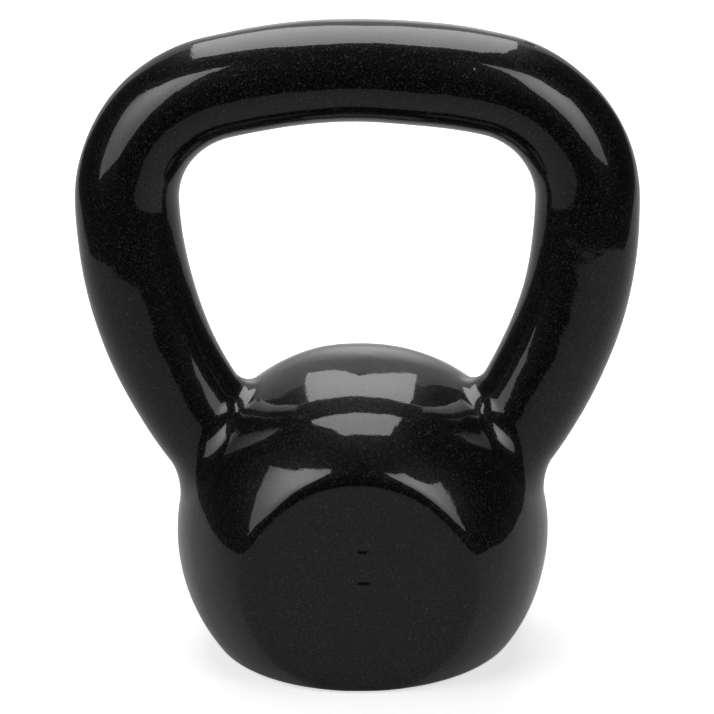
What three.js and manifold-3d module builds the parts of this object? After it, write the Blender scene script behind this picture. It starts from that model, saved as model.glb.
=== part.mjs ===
// A small kettlebell: a round iron ball with two flat faces and a flat underside, a bent round
// bar welded on as the handle, one coat of gloss enamel over both, and a rubber pad below.
//
// Millimetres and degrees, +Z up. The origin is the middle of the resting surface, the flat faces
// look along -Y and +Y, and the handle's two legs stand on the -X and +X sides.
// Every piece is sized from the bare metal outwards: "offset" is the height of a surface above it.

import * as THREE from 'three';
import { mergeVertices } from 'three/addons/utils/BufferGeometryUtils.js';
import Module from 'manifold-3d';

// Ball casting, bare.
const BALL_RADIUS = 48.2;
const FACE_DISTANCE = 38.2;          // ball centre to each flat face
const FACE_EDGE_RADIUS = 3.1;        // rounding between a flat face and the ball
const BASE_DISTANCE = 29.0;          // ball centre to the flat underside
const BASE_EDGE_RADIUS = 2.2;        // rounding between the underside and the ball

// Handle bar, bare.
const BAR_RADIUS = 12.5;
const GRIP_HEIGHT = 64;              // clear height between the coated ball and the coated bar
const GRIP_WIDTH = 92;               // clear width between the coated legs at their widest
const BOW_RADIUS = 156;              // centreline of the slightly arched grip
const CORNER_RADIUS = 31.5;          // centreline of each corner
const LEG_ANGLE = 53.7;              // from the ball's top round to where a leg's centreline meets it
const LEG_OVERRUN = 14;              // length of leg inside the ball before its end is coped
const BEAD_RADIUS = 6.4;             // hollow face of the weld bead round each leg

// Enamel coat.
const COAT_THICKNESS = 0.5;
const CLEARANCE = 0.3;               // between any two touching pieces

// Rubber pad, set into the underside.
const PAD_RADIUS = 30;
const PAD_THICKNESS = 3;
const PAD_PROUD = 0.5;               // how far the pad stands below the coat
const PAD_CHAMFER = 0.6;

// Fineness of the facets.
const BALL_SIDES = 36;
const SPHERE_STEPS = 12;
const EDGE_STEPS = 2;
const BAR_SIDES = 18;
const BAR_STEPS = 42;
const BEAD_STEPS = 4;
const SINK = 0.1;                    // how deep a fillet's rims lie in what it blends
const ROOT_DEPTH = 3;                // how deep its root lies

// Worked out from the sizes above.
const COAT_INSIDE = CLEARANCE;
const COAT_OUTSIDE = CLEARANCE + COAT_THICKNESS;
const BALL_HEIGHT = PAD_PROUD + COAT_OUTSIDE + BASE_DISTANCE;
const HANDLE_TOP = BALL_RADIUS + BAR_RADIUS + 2 * COAT_OUTSIDE + GRIP_HEIGHT;
const HALF_SPAN = GRIP_WIDTH / 2 + COAT_OUTSIDE + BAR_RADIUS;

const wasm = await Module();
wasm.setup();

// ---------------------------------------------------------------- solids

// The closed solid of a geometry: its corners merged, and its collapsed triangles left out.
function solid(geometry) {
  const bare = geometry.index ? geometry.toNonIndexed() : geometry.clone();
  bare.deleteAttribute('normal');
  bare.deleteAttribute('uv');
  const merged = mergeVertices(bare);
  const triangles = [];
  for (let i = 0; i < merged.index.count; i += 3) {
    const [a, b, c] = [0, 1, 2].map((corner) => merged.index.getX(i + corner));
    if (a !== b && b !== c && c !== a) {
      triangles.push(a, b, c);
    }
  }
  return new wasm.Manifold(new wasm.Mesh({
    numProp: 3,
    vertProperties: new Float32Array(merged.attributes.position.array),
    triVerts: new Uint32Array(triangles),
  }));
}

// A named mesh from a solid, raised from the ball's centre to its height above the ground.
function meshOf(name, body, material, height = BALL_HEIGHT) {
  const { numProp, vertProperties, triVerts } = body.getMesh();
  const geometry = new THREE.BufferGeometry();
  const positions = new THREE.InterleavedBuffer(vertProperties, numProp);
  geometry.setAttribute('position', new THREE.InterleavedBufferAttribute(positions, 3, 0));
  geometry.setIndex(new THREE.BufferAttribute(triVerts, 1));
  geometry.computeVertexNormals();
  const mesh = new THREE.Mesh(geometry, material);
  mesh.name = name;
  mesh.position.z = height;
  return mesh;
}

function arcPoints(centreX, centreY, radius, from, to, steps) {
  return Array.from({ length: steps + 1 }, (_, i) => {
    const angle = from + ((to - from) * i) / steps;
    return new THREE.Vector2(centreX + radius * Math.cos(angle), centreY + radius * Math.sin(angle));
  });
}

// A profile (radius, height) turned about the vertical axis.
function turned(profile, sides = BALL_SIDES) {
  return new THREE.LatheGeometry(profile, sides).rotateX(Math.PI / 2);
}

function disc(radius, bottom, top) {
  const corners = [[0, bottom], [radius, bottom], [radius, top], [0, top]];
  return turned(corners.map(([x, y]) => new THREE.Vector2(x, y)));
}

// ---------------------------------------------------------------- ball

// Where a rounded edge lies between a ball and a flat cut at a distance from its centre.
function edgeRounding(ballRadius, distance, radius) {
  const height = distance - radius;
  const reach = Math.sqrt((ballRadius - radius) ** 2 - height ** 2);
  return { height, reach, angle: Math.atan2(height, reach) };
}

// The ball with its two flat faces, turned about the Y axis.
function facedBall(offset) {
  const radius = BALL_RADIUS + offset;
  const distance = FACE_DISTANCE + offset;
  const edgeRadius = FACE_EDGE_RADIUS + offset;
  const { height, reach, angle } = edgeRounding(radius, distance, edgeRadius);
  return new THREE.LatheGeometry([
    new THREE.Vector2(0, -distance),
    ...arcPoints(reach, -height, edgeRadius, -Math.PI / 2, -angle, EDGE_STEPS),
    ...arcPoints(0, 0, radius, -angle, angle, SPHERE_STEPS).slice(1, -1),
    ...arcPoints(reach, height, edgeRadius, angle, Math.PI / 2, EDGE_STEPS),
    new THREE.Vector2(0, distance),
  ], BALL_SIDES);
}

// What is cut away below the ball: a flat underside and the rounding of its rim.
function baseCutter(offset) {
  const radius = BALL_RADIUS + offset;
  const distance = BASE_DISTANCE + offset;
  const edgeRadius = BASE_EDGE_RADIUS + offset;
  const { height, reach, angle } = edgeRounding(radius, distance, edgeRadius);
  const rim = arcPoints(reach, -height, edgeRadius, -Math.PI / 2, -angle, EDGE_STEPS);
  const tangent = new THREE.Vector2(Math.sin(angle), Math.cos(angle));
  const clear = rim.at(-1).clone().addScaledVector(tangent, BALL_RADIUS);
  return turned([
    new THREE.Vector2(0, -2 * radius),
    new THREE.Vector2(clear.x, -2 * radius),
    clear,
    ...rim.reverse(),
    new THREE.Vector2(0, -distance),
  ]);
}

function ballSolid(offset) {
  return solid(facedBall(offset)).subtract(solid(baseCutter(offset)));
}

// ---------------------------------------------------------------- handle

// Half of the handle's centreline as three arcs that run into each other, from the middle of the
// grip to inside the ball. A heading of 0 is level and a quarter turn is straight down.
function handleArcs() {
  const bowTurn = Math.asin((HALF_SPAN - CORNER_RADIUS) / (BOW_RADIUS - CORNER_RADIUS));
  const widestZ = HANDLE_TOP - BOW_RADIUS * (1 - Math.cos(bowTurn)) - CORNER_RADIUS * Math.cos(bowTurn);
  const entryAngle = THREE.MathUtils.degToRad(LEG_ANGLE);
  const entryRadius = BALL_RADIUS + COAT_OUTSIDE;
  const inward = HALF_SPAN - entryRadius * Math.sin(entryAngle);
  const down = widestZ - entryRadius * Math.cos(entryAngle);
  const legRadius = (inward ** 2 + down ** 2) / (2 * inward);
  const legTurn = Math.asin(down / legRadius) + LEG_OVERRUN / legRadius;
  return [
    { radius: BOW_RADIUS, turn: bowTurn },
    { radius: CORNER_RADIUS, turn: Math.PI / 2 - bowTurn },
    { radius: legRadius, turn: legTurn },
  ];
}

class HandleCentreline extends THREE.Curve {
  constructor() {
    super();
    this.arcs = handleArcs();
    this.halfLength = this.arcs.reduce((sum, arc) => sum + arc.radius * arc.turn, 0);
  }

  // The centre and heading at a distance from the middle of the grip, on the +X side.
  station(distance) {
    let [x, z, heading, left] = [0, HANDLE_TOP, 0, distance];
    for (const { radius, turn } of this.arcs) {
      const next = heading + Math.min(left / radius, turn);
      x += radius * (Math.sin(next) - Math.sin(heading));
      z += radius * (Math.cos(next) - Math.cos(heading));
      heading = next;
      left -= radius * turn;
      if (left <= 0) {
        break;
      }
    }
    return { centre: new THREE.Vector3(x, 0, z), heading };
  }

  getPoint(t, target = new THREE.Vector3()) {
    const distance = (2 * t - 1) * this.halfLength;
    const { centre } = this.station(Math.abs(distance));
    return target.set(Math.sign(distance) * centre.x, 0, centre.z);
  }

  // A point beside the +X leg: "around" is the angle about the bar, 0 on its outer side.
  beside(distance, away, around) {
    const { centre, heading } = this.station(distance);
    const outward = new THREE.Vector3(Math.sin(heading), 0, Math.cos(heading));
    outward.multiplyScalar(Math.cos(around)).setY(Math.sin(around));
    return centre.addScaledVector(outward, away);
  }

  // The distance along the bar at which such a point is as far from the ball's centre as asked.
  distanceWhere(fromBall, away, around) {
    let [above, below] = [this.halfLength / 2, this.halfLength];
    for (let i = 0; i < 40; i += 1) {
      const middle = (above + below) / 2;
      if (this.beside(middle, away, around).length() > fromBall) {
        above = middle;
      } else {
        below = middle;
      }
    }
    return above;
  }
}

const centreline = new HandleCentreline();

function barSolid(offset) {
  const section = new THREE.Shape().absarc(0, 0, BAR_RADIUS + offset, 0, 2 * Math.PI);
  const geometry = new THREE.ExtrudeGeometry(section, {
    curveSegments: BAR_SIDES / 2,
    steps: BAR_STEPS,
    bevelEnabled: false,
    extrudePath: centreline,
  });
  return solid(geometry);
}

// ---------------------------------------------------------------- fillet between leg and ball

// One section of the fillet: a circle that rolls on bar and ball together touches them at the two
// rims, its hollow arc joins the rims, and the root lies inside both.
function filletSection(offset, around) {
  const barRadius = BAR_RADIUS + offset - SINK;
  const ballRadius = BALL_RADIUS + offset - SINK;
  const hollow = BEAD_RADIUS - offset;
  const rollAt = centreline.distanceWhere(ballRadius + hollow, barRadius + hollow, around);
  const roll = centreline.beside(rollAt, barRadius + hollow, around);
  const onBar = centreline.beside(rollAt, barRadius, around).sub(roll).normalize();
  const onBall = roll.clone().negate().normalize();
  const opening = onBar.angleTo(onBall);
  const section = [];
  for (let i = 0; i <= BEAD_STEPS; i += 1) {
    const share = i / BEAD_STEPS;
    const direction = onBar.clone().multiplyScalar(Math.sin((1 - share) * opening));
    direction.addScaledVector(onBall, Math.sin(share * opening)).normalize();
    section.push(roll.clone().addScaledVector(direction, hollow));
  }
  const rootAt = centreline.distanceWhere(ballRadius - ROOT_DEPTH, barRadius - ROOT_DEPTH, around);
  section.push(centreline.beside(rootAt, barRadius - ROOT_DEPTH, around));
  return section;
}

// The fillet all round one leg, as a ring of sections. Side is 1 for the +X leg and -1 for the -X.
function filletSolid(offset, side) {
  const sections = Array.from({ length: BAR_SIDES }, (_, i) =>
    filletSection(offset, (side * 2 * Math.PI * i) / BAR_SIDES));
  const corners = sections[0].length;
  const positions = sections.flat().flatMap((point) => [side * point.x, point.y, point.z]);
  const index = [];
  for (let i = 0; i < BAR_SIDES; i += 1) {
    const next = (i + 1) % BAR_SIDES;
    for (let j = 0; j < corners; j += 1) {
      const after = (j + 1) % corners;
      const [a, b] = [i * corners + j, next * corners + j];
      const [c, d] = [next * corners + after, i * corners + after];
      index.push(a, c, b, a, d, c);
    }
  }
  const geometry = new THREE.BufferGeometry();
  geometry.setAttribute('position', new THREE.Float32BufferAttribute(positions, 3));
  geometry.setIndex(index);
  return solid(geometry);
}

// ---------------------------------------------------------------- pieces

// The outline of ball, bar and both fillets together, at one height above the bare metal.
function envelope(offset) {
  return ballSolid(offset)
    .add(barSolid(offset))
    .add(filletSolid(offset, 1))
    .add(filletSolid(offset, -1));
}

function ballCasting() {
  const recessTop = PAD_THICKNESS + CLEARANCE - BALL_HEIGHT;
  const recess = solid(disc(PAD_RADIUS + CLEARANCE, -2 * BALL_RADIUS, recessTop));
  return ballSolid(0).subtract(recess);
}

// The bar's two ends are coped to sit on the ball.
function handleBar() {
  return barSolid(0).subtract(ballSolid(CLEARANCE));
}

function weldBead(side) {
  return filletSolid(0, side)
    .subtract(barSolid(CLEARANCE))
    .subtract(ballSolid(CLEARANCE));
}

// One film over everything, with a round opening underneath for the pad.
function enamelCoat() {
  const opening = solid(disc(PAD_RADIUS + CLEARANCE, -2 * BALL_RADIUS, -BASE_DISTANCE));
  return envelope(COAT_OUTSIDE).subtract(envelope(COAT_INSIDE)).subtract(opening);
}

function basePad() {
  const profile = [
    [0, 0], [PAD_RADIUS - PAD_CHAMFER, 0], [PAD_RADIUS, PAD_CHAMFER],
    [PAD_RADIUS, PAD_THICKNESS], [0, PAD_THICKNESS],
  ];
  return solid(turned(profile.map(([x, y]) => new THREE.Vector2(x, y))));
}

const iron = new THREE.MeshStandardMaterial({ color: 0x4a4a4c, roughness: 0.7, metalness: 0.7 });
const steel = new THREE.MeshStandardMaterial({ color: 0x8d8f92, roughness: 0.4, metalness: 0.9 });
const weld = new THREE.MeshStandardMaterial({ color: 0x77777a, roughness: 0.5, metalness: 0.9 });
const enamel = new THREE.MeshStandardMaterial({ color: 0x0c0c0d, roughness: 0.12, metalness: 0.0 });
const rubber = new THREE.MeshStandardMaterial({ color: 0x1d1d1e, roughness: 0.85, metalness: 0.0 });

const kettlebell = new THREE.Group();
kettlebell.name = 'kettlebell';
kettlebell.add(
  meshOf('ball_casting', ballCasting(), iron),
  meshOf('handle_bar', handleBar(), steel),
  meshOf('weld_bead_left', weldBead(-1), weld),
  meshOf('weld_bead_right', weldBead(1), weld),
  meshOf('enamel_coat', enamelCoat(), enamel),
  meshOf('base_pad', basePad(), rubber, 0),
);

export default kettlebell;
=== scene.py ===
"""A small gloss-black enamelled kettlebell on a pale floor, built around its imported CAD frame."""
import math

import bmesh
import bpy
import numpy as np
from mathutils import Matrix, Vector


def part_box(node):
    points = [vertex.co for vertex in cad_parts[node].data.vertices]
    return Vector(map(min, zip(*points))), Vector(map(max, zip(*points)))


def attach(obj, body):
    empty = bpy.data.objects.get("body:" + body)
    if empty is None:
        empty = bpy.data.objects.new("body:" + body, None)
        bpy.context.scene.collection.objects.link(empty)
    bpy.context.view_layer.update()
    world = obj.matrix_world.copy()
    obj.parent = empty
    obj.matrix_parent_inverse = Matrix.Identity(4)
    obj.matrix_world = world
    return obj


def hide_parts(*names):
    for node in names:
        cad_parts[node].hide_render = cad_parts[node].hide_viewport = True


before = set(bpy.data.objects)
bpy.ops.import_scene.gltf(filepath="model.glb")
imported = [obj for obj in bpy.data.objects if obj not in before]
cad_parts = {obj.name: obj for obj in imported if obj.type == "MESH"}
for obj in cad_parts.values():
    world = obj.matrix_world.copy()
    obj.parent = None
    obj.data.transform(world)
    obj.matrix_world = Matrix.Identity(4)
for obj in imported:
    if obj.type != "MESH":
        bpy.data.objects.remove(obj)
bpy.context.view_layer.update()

# ------------------------------------------------------------------ sizes, in metres

_, casting_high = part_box("ball_casting")
_, bar_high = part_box("handle_bar")
coat_low, coat_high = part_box("enamel_coat")
pad_low, pad_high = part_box("base_pad")

COAT_HEIGHT = coat_high.y - casting_high.y       # from bare metal to the coat's outside
COAT_THICKNESS = 0.0005                          # of the film itself, over a small clearance
BALL_RADIUS = casting_high.x + COAT_HEIGHT
BALL_CENTRE = Vector((0, 0, casting_high.z - casting_high.x))
FACE_DISTANCE = coat_high.y                      # ball centre to each flat face
FACE_EDGE = 0.0065                               # rounding of a flat face's rim, softer than the CAD's
BASE_DISTANCE = BALL_CENTRE.z - coat_low.z       # ball centre to the flat underside
BASE_EDGE = 0.0030
PAD_CLEARANCE = 0.0003
PAD_OPENING = pad_high.x + PAD_CLEARANCE

BAR_RADIUS = bar_high.y + COAT_HEIGHT
GRIP_THINNING = 0.0002                           # the grip is this much thinner than the bar's mean
LEG_SWELLING = 0.0004                            # and the legs this much thicker
GRIP_HEIGHT = 0.064                              # clear height of the hand window
GRIP_WIDTH = 0.092                               # clear width of the hand window
BOW_RADIUS = 0.156
CORNER_RADIUS = 0.0315
LEG_ANGLE = math.radians(53.7)                   # from the ball's top to where a leg meets it
LEG_OVERRUN = 0.014                              # how far a leg carries on into the ball
FILLET_RADIUS = 0.0056                           # hollow rounding where a leg meets the ball

VOXEL = 0.0010                                   # spacing of the skin's mesh
WAVES_FADE = 0.003                               # height over which the waves grow from nothing
ANGLE_SLACK = 1e-6                               # so that no point falls between two arcs


# ------------------------------------------------------------------ the finished outline

def handle_arcs():
    """Half of the handle's centreline in the XZ plane, from the ball's centre: three arcs, each as
    (centre x, centre z, radius, first heading, last heading); heading 0 is level."""
    top = BALL_RADIUS + BAR_RADIUS + GRIP_HEIGHT
    half = GRIP_WIDTH / 2 + BAR_RADIUS
    bow = math.asin((half - CORNER_RADIUS) / (BOW_RADIUS - CORNER_RADIUS))
    widest = top - BOW_RADIUS * (1 - math.cos(bow)) - CORNER_RADIUS * math.cos(bow)
    inward = half - BALL_RADIUS * math.sin(LEG_ANGLE)
    down = widest - BALL_RADIUS * math.cos(LEG_ANGLE)
    leg_radius = (inward ** 2 + down ** 2) / (2 * inward)
    leg_turn = math.asin(down / leg_radius) + LEG_OVERRUN / leg_radius
    turns = ((BOW_RADIUS, bow), (CORNER_RADIUS, math.pi / 2 - bow), (leg_radius, leg_turn))
    arcs, x, z, heading = [], 0.0, top, 0.0
    for radius, turn in turns:
        cx = x - radius * math.sin(heading)
        cz = z - radius * math.cos(heading)
        arcs.append((cx, cz, radius, heading, heading + turn))
        heading += turn
        x = cx + radius * math.sin(heading)
        z = cz + radius * math.cos(heading)
    return arcs


ARCS = handle_arcs()


def capped(across, along, distance, edge):
    """Distance to a ball cut flat at a distance from its centre, the cut's rim rounded."""
    level = distance - edge
    reach = math.sqrt((BALL_RADIUS - edge) ** 2 - level ** 2)
    rounded = np.hypot(across - reach, along - level) - edge
    on_ball = across * level > along * reach
    sphere = np.hypot(across, along) - BALL_RADIUS
    return np.where(across < reach, along - distance, np.where(on_ball, sphere, rounded))


def bar_distance(x, y, z):
    """Distance to the bar's skin, from the ball's centre; x is already mirrored to the +X half.
    The bar thickens smoothly from its top down to half that height."""
    nearest = np.full(x.shape, 1.0)
    for cx, cz, radius, first, last in ARCS:
        angle = np.arctan2(x - cx, z - cz)
        inside = (angle >= first - ANGLE_SLACK) & (angle <= last + ANGLE_SLACK)
        distance = np.hypot(np.hypot(x - cx, z - cz) - radius, y)
        nearest = np.where(inside, np.minimum(nearest, distance), nearest)
    end_x = cx + radius * math.sin(last)
    end_z = cz + radius * math.cos(last)
    nearest = np.minimum(nearest, np.sqrt((x - end_x) ** 2 + y ** 2 + (z - end_z) ** 2))
    top = ARCS[0][1] + ARCS[0][2]
    share = np.clip((top - z) / (0.5 * top), 0, 1)
    share = share * share * (3 - 2 * share)
    return nearest - (BAR_RADIUS - GRIP_THINNING + (GRIP_THINNING + LEG_SWELLING) * share)


def outline(points):
    """Distance from the true, smooth outline: ball, bar and the fillets between them."""
    x = np.abs(points[:, 0])
    y = points[:, 1]
    z = points[:, 2] - BALL_CENTRE.z
    faces = capped(np.hypot(x, z), np.abs(y), FACE_DISTANCE, FACE_EDGE)
    base = capped(np.hypot(x, y), -z, BASE_DISTANCE, BASE_EDGE)
    ball = np.maximum(faces, base)
    bar = bar_distance(x, y, z)
    blend = np.hypot(np.maximum(FILLET_RADIUS - ball, 0), np.maximum(FILLET_RADIUS - bar, 0))
    return np.maximum(FILLET_RADIUS, np.minimum(ball, bar)) - blend


def ripples(seed, count, shortest, longest, steepness):
    """Random plane waves as (wave vectors, phases, heights); steepness is their joint slope."""
    random = np.random.default_rng(seed)
    directions = random.normal(size=(count, 3))
    directions /= np.linalg.norm(directions, axis=1, keepdims=True)
    lengths = shortest * (longest / shortest) ** random.random(count)
    heights = steepness * lengths / (2 * math.pi) * math.sqrt(2 / count)
    vectors = directions * (2 * math.pi / lengths[:, None])
    phases = random.random(count) * 2 * math.pi
    return vectors, phases, heights


WAVES = [
    ripples(seed=3, count=18, shortest=0.014, longest=0.042, steepness=0.016),
    ripples(seed=8, count=24, shortest=0.0045, longest=0.010, steepness=0.006),
]


def on_bar(side, heading_deg, around_deg):
    """A point on the handle's skin, found by the bar's heading there and the angle round the bar
    from its outside towards the front."""
    heading = math.radians(heading_deg)
    around = math.radians(around_deg)
    cx, cz, radius, _, _ = next(arc for arc in ARCS if arc[3] <= heading <= arc[4])
    out = Vector((side * math.sin(heading), 0, math.cos(heading)))
    front = Vector((0, -1, 0))
    centre = BALL_CENTRE + Vector((side * cx, 0, cz)) + out * radius
    return centre + (BAR_RADIUS - GRIP_THINNING) * (out * math.cos(around) + front * math.sin(around))


def on_face(across, above):
    """A point on the front face, from the ball's centre."""
    return BALL_CENTRE + Vector((across, -FACE_DISTANCE, above))


# Small faults of casting and paint, as (place, long direction, half length, half width, depth):
# two dashes on the front face, a chip and a tick at the handle's right, and a tick at its left.
MARKS = [
    (on_face(0.0012, 0.0102), (1, 0, 0), 0.0009, 0.0006, 0.00028),
    (on_face(0.0012, 0.0015), (1, 0, 0), 0.0010, 0.0006, 0.00030),
    (on_bar(1, 22.0, 4.0), (0.93, 0, -0.37), 0.0012, 0.0004, 0.00025),
    (on_bar(1, 11.1, 60.0), (1, 0, 0), 0.0007, 0.0004, 0.00007),
    (on_bar(-1, 7.0, 73.0), (0, 0, 1), 0.0016, 0.0003, 0.00003),
]


def height(points):
    """How far the real skin stands off the true outline: soft waves from the pour, and the marks."""
    total = np.zeros(len(points))
    for vectors, phases, heights in WAVES:
        total += np.sin(points @ vectors.T + phases) @ heights
    total *= np.clip((points[:, 2] - coat_low.z) / WAVES_FADE, 0, 1)      # the underside stays flat
    for place, direction, half_length, half_width, depth in MARKS:
        offset = points - np.array(place)
        along = offset @ np.array(direction, float)
        across = np.sum(offset ** 2, axis=1) - along ** 2
        past = np.maximum(np.abs(along) - half_length, 0)
        total -= depth * np.exp(-(past ** 2 + across) / half_width ** 2)
    return total


def skin(points):
    """Distance from the real skin, waves and marks included."""
    return outline(points) - height(points)


def slope(points, surface=skin, step=2e-5):
    """The direction in which the distance from a surface grows fastest."""
    columns = []
    for axis in np.eye(3) * step:
        columns.append((surface(points + axis) - surface(points - axis)) / (2 * step))
    return np.stack(columns, axis=1)


def settle(points, surface=skin, level=0.0, rounds=5, flattest=0.05):
    """Moves points onto a surface, or to a level above or below it."""
    for _ in range(rounds):
        gradient = slope(points, surface)
        steep = np.sum(gradient ** 2, axis=1, keepdims=True)
        points = points - gradient * ((surface(points) - level)[:, None] / np.maximum(steep, flattest))
    return points


# ------------------------------------------------------------------ mesh helpers

def mesh_object(name, vertices, faces):
    """A new object in the scene from plain lists of vertices and faces."""
    mesh = bpy.data.meshes.new(name)
    mesh.from_pydata([tuple(v) for v in vertices], [], [tuple(int(i) for i in f) for f in faces])
    mesh.validate()
    mesh.update()
    piece = bpy.data.objects.new(name, mesh)
    bpy.context.scene.collection.objects.link(piece)
    return piece


def evaluated(piece):
    """A new mesh of the object with its modifiers applied."""
    graph = bpy.context.evaluated_depsgraph_get()
    return bpy.data.meshes.new_from_object(piece.evaluated_get(graph))


def corners_of(mesh):
    """A mesh's vertices as rows of three numbers."""
    vertices = np.empty(len(mesh.vertices) * 3)
    mesh.vertices.foreach_get("co", vertices)
    return vertices.reshape(-1, 3)


def rough_ball(model):
    """The ball with its three flats, added to a bmesh."""
    ball = bmesh.new()
    bmesh.ops.create_uvsphere(ball, u_segments=96, v_segments=64, radius=BALL_RADIUS)
    flats = (((0, 1, 0), FACE_DISTANCE), ((0, -1, 0), FACE_DISTANCE), ((0, 0, -1), BASE_DISTANCE))
    for direction, distance in flats:
        everything = ball.verts[:] + ball.edges[:] + ball.faces[:]
        cut = bmesh.ops.bisect_plane(ball, geom=everything, plane_co=Vector(direction) * distance,
                                     plane_no=direction, clear_outer=True)
        rim = [e for e in cut["geom_cut"] if isinstance(e, bmesh.types.BMEdge)]
        bmesh.ops.holes_fill(ball, edges=rim)
    bmesh.ops.translate(ball, verts=ball.verts, vec=BALL_CENTRE)
    scratch = bpy.data.meshes.new("scratch")
    ball.to_mesh(scratch)
    ball.free()
    model.from_mesh(scratch)
    bpy.data.meshes.remove(scratch)


def rough_bar(model, sides=40, spacing=0.003):
    """A plain round bar along the handle's centreline, added to a bmesh."""
    stations = []
    for cx, cz, radius, first, last in ARCS:
        steps = max(2, round(radius * (last - first) / spacing))
        for i in range(steps):
            heading = first + (last - first) * i / steps
            stations.append((cx + radius * math.sin(heading), cz + radius * math.cos(heading), heading))
    left = [(-x, z, -heading) for x, z, heading in reversed(stations[1:])]
    rings = []
    for x, z, heading in left + stations:
        out = Vector((math.sin(heading), 0, math.cos(heading)))
        centre = BALL_CENTRE + Vector((x, 0, z))
        ring = []
        for i in range(sides):
            around = 2 * math.pi * i / sides
            spoke = out * math.cos(around) + Vector((0, math.sin(around), 0))
            ring.append(model.verts.new(centre + BAR_RADIUS * spoke))
        rings.append(ring)
    for near, far in zip(rings, rings[1:]):
        for i in range(sides):
            j = (i + 1) % sides
            model.faces.new((near[i], near[j], far[j], far[i]))
    model.faces.new(reversed(rings[0]))
    model.faces.new(rings[-1])


def relaxed(points, edges, fixed=None, rounds=6, pull=0.6):
    """Evens out the spacing of the skin's vertices, which stay on the skin: each moves a share of
    the way to the middle of its neighbours, and back onto the skin."""
    degree = np.bincount(edges.ravel(), minlength=len(points))[:, None]
    for _ in range(rounds):
        total = np.zeros_like(points)
        for column in range(3):
            for near, far in ((0, 1), (1, 0)):
                total[:, column] += np.bincount(edges[:, near], points[edges[:, far], column], len(points))
        moved = settle((1 - pull) * points + pull * total / degree, rounds=2)
        points = moved if fixed is None else np.where(fixed[:, None], points, moved)
    return points


# ------------------------------------------------------------------ the enamel skin

def even_surface():
    """The outside of the skin as an even mesh of small quads: (points, faces)."""
    model = bmesh.new()
    rough_ball(model)
    rough_bar(model)
    bmesh.ops.recalc_face_normals(model, faces=model.faces)
    mesh = bpy.data.meshes.new("rough")
    model.to_mesh(mesh)
    model.free()
    rough = bpy.data.objects.new("rough", mesh)
    bpy.context.scene.collection.objects.link(rough)
    remesh = rough.modifiers.new("even", "REMESH")
    remesh.mode = "VOXEL"
    remesh.voxel_size = VOXEL
    fine = evaluated(rough)
    edges = np.empty(len(fine.edges) * 2, int)
    fine.edges.foreach_get("vertices", edges)
    points = relaxed(settle(corners_of(fine)), edges.reshape(-1, 2))
    faces = [tuple(face.vertices) for face in fine.polygons]
    bpy.data.objects.remove(rough)
    return points, faces


def opened(points, faces):
    """Cuts the round opening for the pad: the flat's quads go, and a clean rim closes on the hole.
    Returns (points, faces, the rim's vertex numbers)."""
    model = bmesh.new()
    vertices = [model.verts.new(point) for point in points]
    for face in faces:
        model.faces.new([vertices[i] for i in face])
    refine(model)
    margin = PAD_OPENING + 1.2 * VOXEL           # leaves room for one row of quads round the rim
    underside = coat_low.z + 0.2 * VOXEL
    inside = [v for v in model.verts
              if v.co.z < underside and math.hypot(v.co.x, v.co.y) < margin]
    bmesh.ops.delete(model, geom=inside, context="VERTS")
    first = next(e for e in model.edges if e.is_boundary)
    loop = [first.verts[0], first.verts[1]]
    used = {first}
    while True:
        step = next((e for e in loop[-1].link_edges if e.is_boundary and e not in used), None)
        if step is None:
            break
        used.add(step)
        loop.append(step.other_vert(loop[-1]))
    loop.pop()
    turning = sum(a.co.x * b.co.y - a.co.y * b.co.x for a, b in zip(loop, loop[1:] + loop[:1]))
    if turning < 0:
        loop.reverse()
    count = len(loop)
    share = 2 * math.pi / count
    start = math.atan2(loop[0].co.y, loop[0].co.x)
    lag = sum((math.atan2(v.co.y, v.co.x) - start - share * i + math.pi) % (2 * math.pi) - math.pi
              for i, v in enumerate(loop)) / count
    rim = []
    for i in range(count):
        angle = start + lag + share * i
        corner = (PAD_OPENING * math.cos(angle), PAD_OPENING * math.sin(angle), coat_low.z)
        rim.append(model.verts.new(corner))
    for i in range(count):
        j = (i + 1) % count
        model.faces.new((loop[i], rim[i], rim[j], loop[j]))
    bmesh.ops.recalc_face_normals(model, faces=model.faces)
    model.verts.index_update()
    points = np.array([v.co for v in model.verts])
    edges = np.array([[v.index for v in e.verts] for e in model.edges])
    faces = [[v.index for v in face.verts] for face in model.faces]
    fixed = np.zeros(len(points), bool)
    fixed[[v.index for v in rim]] = True
    model.free()
    return relaxed(points, edges, fixed, rounds=4), faces, np.flatnonzero(fixed)


def refine(model):
    """Finer quads round each small mark."""
    for place, _, half_length, half_width, _ in MARKS:
        reach = half_length + 2.5 * half_width + VOXEL
        near = [e for e in model.edges if all((v.co - place).length < reach for v in e.verts)]
        bmesh.ops.subdivide_edges(model, edges=near, cuts=3, use_grid_fill=True)


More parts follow.
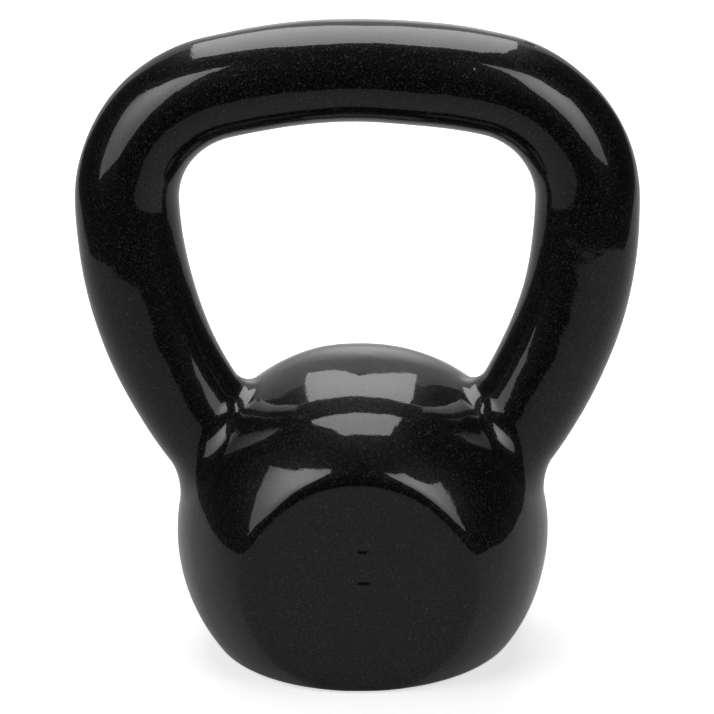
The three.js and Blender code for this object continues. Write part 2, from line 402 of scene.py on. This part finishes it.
def enamel_skin():
    """One closed film: the waved outside, the even inside, and the opening's wall between them."""
    points, faces, rim = opened(*even_surface())
    inner = settle(points, surface=outline, level=-COAT_THICKNESS, rounds=4)
    inner[rim, :2] = points[rim, :2]
    inner[rim, 2] = points[rim, 2] + COAT_THICKNESS
    count = len(points)
    order = rim[np.argsort(np.arctan2(points[rim, 1], points[rim, 0]))]
    wall = [(b, a, a + count, b + count) for a, b in zip(order, np.roll(order, -1))]
    backs = [[i + count for i in reversed(face)] for face in faces]
    piece = mesh_object("enamel_skin", np.vstack([points, inner]), faces + backs + wall)
    mesh = piece.data
    mesh.polygons.foreach_set("use_smooth", [True] * len(mesh.polygons))
    outward = slope(points)
    outward /= np.linalg.norm(outward, axis=1, keepdims=True)
    normals = np.vstack([outward, -outward])
    loop_vertex = np.empty(len(mesh.loops), int)
    mesh.loops.foreach_get("vertex_index", loop_vertex)
    loop_normals = normals[loop_vertex]
    for face in list(mesh.polygons)[-len(wall):]:
        for i in face.loop_indices:
            loop_normals[i] = face.normal
    mesh.normals_split_custom_set(loop_normals.tolist())
    return piece


# ------------------------------------------------------------------ the rubber pad

PAD_ROUNDING = 0.0006
ROUNDING_STEPS = 6
GROOVE_PITCH = 0.0030
GROOVE_DEPTH = 0.0004
GROOVE_MOUTH = 0.0006                            # half of a groove's width where it opens
GROOVE_FLOOR = 0.0003                            # and at its bottom
PLAIN_RIM = 0.004                                # the pad's outer edge has no grooves


def lathe(name, profile, sides):
    """A closed solid turned about Z from (radius, height) corners, the first and last on the axis."""
    vertices, rings, faces = [], [], []
    for radius, level in profile:
        if radius == 0:
            rings.append([len(vertices)])
            vertices.append((0, 0, level))
            continue
        rings.append(list(range(len(vertices), len(vertices) + sides)))
        for i in range(sides):
            angle = 2 * math.pi * i / sides
            vertices.append((radius * math.cos(angle), radius * math.sin(angle), level))
    for near, far in zip(rings, rings[1:]):
        for i in range(sides):
            j = (i + 1) % sides
            if len(near) == 1:
                faces.append((near[0], far[j], far[i]))
            elif len(far) == 1:
                faces.append((near[i], near[j], far[0]))
            else:
                faces.append((near[i], near[j], far[j], far[i]))
    return mesh_object(name, vertices, faces)


def rubber_pad():
    """The pad's underside has low concentric grooves, and both its rims are rounded."""
    radius = pad_high.x
    bottom = pad_low.z
    groove_bottom = bottom + GROOVE_DEPTH
    grooves = int((radius - PLAIN_RIM) / GROOVE_PITCH)
    profile = [(0, bottom)]
    for i in range(1, grooves + 1):
        at = i * GROOVE_PITCH
        profile += [(at - GROOVE_MOUTH, bottom), (at - GROOVE_FLOOR, groove_bottom),
                    (at + GROOVE_FLOOR, groove_bottom), (at + GROOVE_MOUTH, bottom)]
    axis = radius - PAD_ROUNDING
    quarter = [math.pi / 2 * i / ROUNDING_STEPS for i in range(ROUNDING_STEPS + 1)]
    for angle in quarter:
        profile.append((axis + PAD_ROUNDING * math.sin(angle),
                        bottom + PAD_ROUNDING - PAD_ROUNDING * math.cos(angle)))
    for angle in quarter:
        profile.append((axis + PAD_ROUNDING * math.cos(angle),
                        pad_high.z - PAD_ROUNDING + PAD_ROUNDING * math.sin(angle)))
    profile.append((0, pad_high.z))
    piece = lathe("rubber_pad", profile, sides=144)
    piece.data.polygons.foreach_set("use_smooth", [True] * len(piece.data.polygons))
    piece.data.set_sharp_from_angle(angle=math.radians(30))
    return piece


# ------------------------------------------------------------------ materials

class Shader:
    """A node material around one Principled shader."""

    def __init__(self, name, **constants):
        self.material = bpy.data.materials.new(name)
        self.material.use_nodes = True
        self.tree = self.material.node_tree
        self.surface = self.tree.nodes["Principled BSDF"]
        for socket, value in constants.items():
            self.surface.inputs[socket.replace("_", " ")].default_value = value
        self.place = self.add("ShaderNodeTexCoord").outputs["Object"]

    def add(self, kind, **settings):
        """A new node; settings are its own properties or its sockets' values."""
        node = self.tree.nodes.new(kind)
        for key, value in settings.items():
            if hasattr(node, key):
                setattr(node, key, value)
            else:
                node.inputs[key.replace("_", " ")].default_value = value
        return node

    def link(self, source, target):
        self.tree.links.new(source, target)

    def noise(self, scale, detail=2.0, roughness=0.5, stretch=None):
        node = self.add("ShaderNodeTexNoise", Scale=scale, Detail=detail, Roughness=roughness)
        source = self.place
        if stretch:
            mapping = self.add("ShaderNodeMapping", Scale=stretch)
            self.link(source, mapping.inputs["Vector"])
            source = mapping.outputs["Vector"]
        self.link(source, node.inputs["Vector"])
        return node.outputs["Fac"]

    def ramp(self, source, stops):
        """Greys or colours laid along a value, as (place, grey or colour) stops."""
        node = self.add("ShaderNodeValToRGB")
        elements = node.color_ramp.elements
        while len(elements) < len(stops):
            elements.new(0.5)
        for element, (at, value) in zip(elements, stops):
            element.position = at
            element.color = (*value, 1) if isinstance(value, tuple) else (value, value, value, 1)
        self.link(source, node.inputs["Fac"])
        return node.outputs["Color"]

    def spread(self, source, low, high):
        """A value from 0 to 1 spread from low to high."""
        node = self.add("ShaderNodeMapRange", To_Min=low, To_Max=high)
        self.link(source, node.inputs["Value"])
        return node.outputs["Result"]

    def bump(self, source, distance, strength=1.0):
        node = self.add("ShaderNodeBump", Strength=strength, Distance=distance)
        self.link(source, node.inputs["Height"])
        return node.outputs["Normal"]


def enamel():
    """Black enamel with fine metal flakes under a clear, slightly rippled gloss."""
    shader = Shader("black_enamel", Specular_IOR_Level=0.12, Coat_Weight=1.0, Coat_Roughness=0.035,
                    Coat_IOR=1.5)
    flakes = shader.add("ShaderNodeTexVoronoi", Scale=2600.0)
    shader.link(shader.place, flakes.inputs["Vector"])
    greys = [(0.0, 0.0004), (0.5, 0.0012), (0.8, 0.008), (1.0, 0.040)]
    glitter = shader.ramp(flakes.outputs["Color"], greys)
    shader.link(glitter, shader.surface.inputs["Base Color"])
    shader.link(shader.spread(shader.noise(60.0), 0.30, 0.40), shader.surface.inputs["Roughness"])
    grain = shader.bump(shader.noise(1900.0, detail=1.0), distance=0.00010, strength=0.6)
    shader.link(grain, shader.surface.inputs["Normal"])
    peel = shader.bump(shader.noise(420.0, detail=4.0, roughness=0.6), distance=0.000018)
    shader.link(peel, shader.surface.inputs["Coat Normal"])
    return shader.material


def cast_iron():
    """Dark, rough grey iron as it comes from the mould."""
    shader = Shader("cast_iron", Metallic=0.8)
    greys = [(0.3, (0.035, 0.033, 0.032)), (0.7, (0.10, 0.095, 0.09))]
    shader.link(shader.ramp(shader.noise(120.0, detail=6.0), greys), shader.surface.inputs["Base Color"])
    shader.link(shader.spread(shader.noise(300.0), 0.55, 0.8), shader.surface.inputs["Roughness"])
    sand = shader.bump(shader.noise(700.0, detail=6.0), distance=0.0004)
    shader.link(sand, shader.surface.inputs["Normal"])
    return shader.material


def bright_steel():
    """Bare steel with fine streaks from drawing."""
    shader = Shader("drawn_steel", Metallic=1.0)
    streaks = shader.noise(900.0, detail=3.0, stretch=(0.06, 1.0, 1.0))
    shader.link(shader.ramp(streaks, [(0.3, 0.30), (0.7, 0.52)]), shader.surface.inputs["Base Color"])
    shader.link(shader.spread(streaks, 0.25, 0.45), shader.surface.inputs["Roughness"])
    shader.link(shader.bump(streaks, distance=0.00005), shader.surface.inputs["Normal"])
    return shader.material


def weld_steel():
    """Bare weld metal with straw and blue heat colours."""
    shader = Shader("weld_steel", Metallic=1.0)
    heat = shader.noise(180.0, detail=3.0)
    colours = [(0.25, (0.32, 0.30, 0.28)), (0.5, (0.42, 0.33, 0.20)), (0.75, (0.16, 0.20, 0.34))]
    shader.link(shader.ramp(heat, colours), shader.surface.inputs["Base Color"])
    shader.link(shader.spread(heat, 0.35, 0.6), shader.surface.inputs["Roughness"])
    shader.link(shader.bump(shader.noise(600.0), distance=0.0003), shader.surface.inputs["Normal"])
    return shader.material


def rubber():
    """Dull black rubber."""
    shader = Shader("black_rubber", Specular_IOR_Level=0.35)
    shader.link(shader.ramp(shader.noise(200.0, detail=4.0), [(0.3, 0.012), (0.7, 0.024)]),
                shader.surface.inputs["Base Color"])
    shader.link(shader.spread(shader.noise(90.0), 0.65, 0.85), shader.surface.inputs["Roughness"])
    grain = shader.bump(shader.noise(1500.0, detail=2.0), distance=0.0001)
    shader.link(grain, shader.surface.inputs["Normal"])
    return shader.material


def paint(piece, material):
    if piece.material_slots:
        for slot in piece.material_slots:
            slot.material = material
    else:
        piece.data.materials.append(material)


# ------------------------------------------------------------------ pieces

coat = enamel_skin()
paint(coat, enamel())
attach(coat, "root")
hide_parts("enamel_coat")

pad = rubber_pad()
paint(pad, rubber())
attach(pad, "root")
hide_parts("base_pad")

paint(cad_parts["ball_casting"], cast_iron())
paint(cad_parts["handle_bar"], bright_steel())
bead_finish = weld_steel()
for side in ("left", "right"):
    paint(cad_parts["weld_bead_" + side], bead_finish)

# ------------------------------------------------------------------ floor and light

scene = bpy.context.scene
scene.view_settings.view_transform = "Standard"
scene.view_settings.look = "None"

FLOOR_RADIUS = 6.0
TABLE_RADIUS = 0.33
TABLE_BACK = [(1.0, 1.4), (-1.0, 1.4)]           # the mirrored table's far corners
GLOW_FROM_Y = -0.08                              # the table's glow grows from here, going back,
GLOW_TO_Y = 0.25                                 # to here,
FRONT_GLOW = 0.13                                # from this
BACK_GLOW = 0.20                                 # to this
ROOM_GLOW = 0.02                                 # the dim room, as all but the camera see it


def flat_panel(name, corners):
    """A level panel on the ground."""
    piece = mesh_object(name, [(x, y, 0) for x, y in corners], [range(len(corners))])
    return piece


def arc_outline(radius, first_deg, last_deg, steps=48):
    """Corners along an arc about the origin."""
    angles = [math.radians(first_deg + (last_deg - first_deg) * i / steps) for i in range(steps + 1)]
    return [(radius * math.cos(a), radius * math.sin(a)) for a in angles]


def floor():
    """A large pale disc, lit from above and glowing a little so that it stays even."""
    shader = Shader("pale_floor", Base_Color=(0.82, 0.82, 0.82, 1), Roughness=0.9, Specular_IOR_Level=0.1,
                    Emission_Color=(1, 1, 1, 1), Emission_Strength=0.55)
    seen = flat_panel("floor", arc_outline(FLOOR_RADIUS, 0, 352))       # the last side closes it
    paint(seen, shader.material)
    seen.visible_glossy = False
    seen.visible_diffuse = False


def dim_floor():
    """What the gloss reflects in the floor's place: a small table, dim in front, that widens behind."""
    shader = Shader("dim_floor", Base_Color=(0.68, 0.68, 0.68, 1), Roughness=0.9, Specular_IOR_Level=0.1,
                    Emission_Color=(1, 1, 1, 1))
    split = shader.add("ShaderNodeSeparateXYZ")
    shader.link(shader.place, split.inputs["Vector"])
    depth = shader.add("ShaderNodeMapRange", From_Min=GLOW_FROM_Y, From_Max=GLOW_TO_Y,
                       To_Min=FRONT_GLOW, To_Max=BACK_GLOW)
    shader.link(split.outputs["Y"], depth.inputs["Value"])
    shader.link(depth.outputs["Result"], shader.surface.inputs["Emission Strength"])
    front = arc_outline(TABLE_RADIUS, 180, 360)
    mirrored = flat_panel("dim_floor", front + TABLE_BACK)
    paint(mirrored, shader.material)
    mirrored.visible_camera = False
    mirrored.visible_shadow = False


def glowing(name, corners, radiance, hot, spread, brightest=1.2, dimmest=0.7):
    """A flat softbox with the given corners. It is brightest at "hot" and fades over "spread"."""
    panel = mesh_object(name, corners, [range(len(corners))])
    material = bpy.data.materials.new(name)
    material.use_nodes = True
    tree = material.node_tree
    tree.nodes.clear()
    place = tree.nodes.new("ShaderNodeTexCoord")
    away = tree.nodes.new("ShaderNodeVectorMath")
    away.operation = "DISTANCE"
    away.inputs[1].default_value = hot
    fade = tree.nodes.new("ShaderNodeMapRange")
    fade.interpolation_type = "SMOOTHSTEP"
    fade.inputs["From Max"].default_value = spread
    fade.inputs["To Min"].default_value = brightest * radiance
    fade.inputs["To Max"].default_value = dimmest * radiance
    glow = tree.nodes.new("ShaderNodeEmission")
    out = tree.nodes.new("ShaderNodeOutputMaterial")
    tree.links.new(place.outputs["Object"], away.inputs[0])
    tree.links.new(away.outputs["Value"], fade.inputs["Value"])
    tree.links.new(fade.outputs["Result"], glow.inputs["Strength"])
    tree.links.new(glow.outputs["Emission"], out.inputs["Surface"])
    panel.data.materials.append(material)
    panel.visible_camera = False
    panel.visible_shadow = False


def standing(name, near, far, corners, radiance, hot):
    """An upright softbox on the line from near to far on plan; its corners are (along, height)."""
    near, far = Vector((*near, 0)), Vector((*far, 0))
    along = (far - near).normalized()

    def point(corner):
        return near + along * corner[0] + Vector((0, 0, corner[1]))

    glowing(name, [point(corner) for corner in corners], radiance, point(hot), spread=0.5, dimmest=0.4)


# The overhead softbox's corners on plan, and those of the two standing ones as (along, height).
OVERHEAD_HEIGHT = 0.95
OVERHEAD = [(-0.13, -0.16), (0.25, -0.14), (0.31, 0.05), (0.40, 0.45), (0.45, 1.30), (0.28, 1.12),
            (0.00, 0.80), (-0.27, 1.12), (-0.50, 1.35), (-0.45, 0.64), (-0.42, 0.06), (-0.25, -0.05)]
LEFT_SOFTBOX = [(0.07, 0.17), (0.12, 0.13), (0.30, 0.12), (0.45, 0.08), (0.53, 0.22), (0.60, 0.42),
                (0.72, 0.74), (0.32, 0.67), (0.00, 0.77), (0.02, 0.45)]
RIGHT_SOFTBOX = [(0.16, 0.18), (0.26, 0.13), (0.53, 0.12), (0.58, 0.30), (0.61, 0.67), (0.47, 0.64),
                 (0.37, 0.71), (0.28, 0.83), (0.15, 0.85), (0.04, 0.92), (0.06, 0.40)]
BACKDROP = [(0, 0), (2.0, 0), (2.0, 1.5), (0, 1.5)]


def softboxes():
    """One softbox overhead, one at each side in front, and a pale backdrop behind."""
    glowing("overhead", [Vector((x, y, OVERHEAD_HEIGHT)) for x, y in OVERHEAD], 3.6,
            hot=Vector((0.0, 0.2, OVERHEAD_HEIGHT)), spread=1.2)
    standing("left_softbox", (-0.26, -0.46), (-1.00, -0.07), LEFT_SOFTBOX, 3.5, hot=(0.22, 0.64))
    standing("right_softbox", (0.22, -0.59), (0.90, -0.33), RIGHT_SOFTBOX, 3.5, hot=(0.3, 0.6))
    standing("backdrop", (-1.2, 1.45), (0.8, 1.45), BACKDROP, 0.95, hot=(1.2, 0.4))


def surroundings():
    """White to the camera, a dim room to everything else."""
    world = bpy.data.worlds.new("studio")
    scene.world = world
    world.use_nodes = True
    nodes, links = world.node_tree.nodes, world.node_tree.links
    room = nodes["Background"]
    room.inputs["Color"].default_value = (1, 1, 1, 1)
    room.inputs["Strength"].default_value = ROOM_GLOW
    white = nodes.new("ShaderNodeBackground")
    white.inputs["Color"].default_value = (1, 1, 1, 1)
    white.inputs["Strength"].default_value = 1.0
    rays = nodes.new("ShaderNodeLightPath")
    mix = nodes.new("ShaderNodeMixShader")
    links.new(rays.outputs["Is Camera Ray"], mix.inputs["Fac"])
    links.new(room.outputs["Background"], mix.inputs[1])
    links.new(white.outputs["Background"], mix.inputs[2])
    links.new(mix.outputs["Shader"], nodes["World Output"].inputs["Surface"])


floor()
dim_floor()
softboxes()
surroundings()

# ------------------------------------------------------------------ camera

LENS = 205.0                                     # millimetres, as is the sensor
SENSOR_WIDTH = 36.0
VIEW_DISTANCE = 1.078
VIEW_ELEVATION = math.radians(20.70)
VIEW_AZIMUTH = math.radians(1.737)               # how far the camera stands round to the +X side
VIEW_ROLL = math.radians(0.956)
AIM_LEFT = 0.001485                              # the camera's axis passes the ball's centre
AIM_ABOVE = 0.04526                              # this far to its left and this far above it


def camera():
    data = bpy.data.cameras.new("camera")
    data.lens = LENS
    data.sensor_width = SENSOR_WIDTH
    data.clip_start = 0.1
    data.clip_end = 50.0
    turn = Matrix.Rotation(VIEW_AZIMUTH, 3, "Z")
    forward = turn @ Vector((0, math.cos(VIEW_ELEVATION), -math.sin(VIEW_ELEVATION)))
    level = turn @ Vector((1, 0, 0))
    upright = level.cross(forward)
    right = level * math.cos(VIEW_ROLL) - upright * math.sin(VIEW_ROLL)
    up = level * math.sin(VIEW_ROLL) + upright * math.cos(VIEW_ROLL)
    place = BALL_CENTRE - VIEW_DISTANCE * forward - AIM_LEFT * right + AIM_ABOVE * up
    eye = bpy.data.objects.new("camera", data)
    scene.collection.objects.link(eye)
    eye.matrix_world = Matrix.Translation(place) @ Matrix((right, up, -forward)).transposed().to_4x4()
    scene.camera = eye


camera()
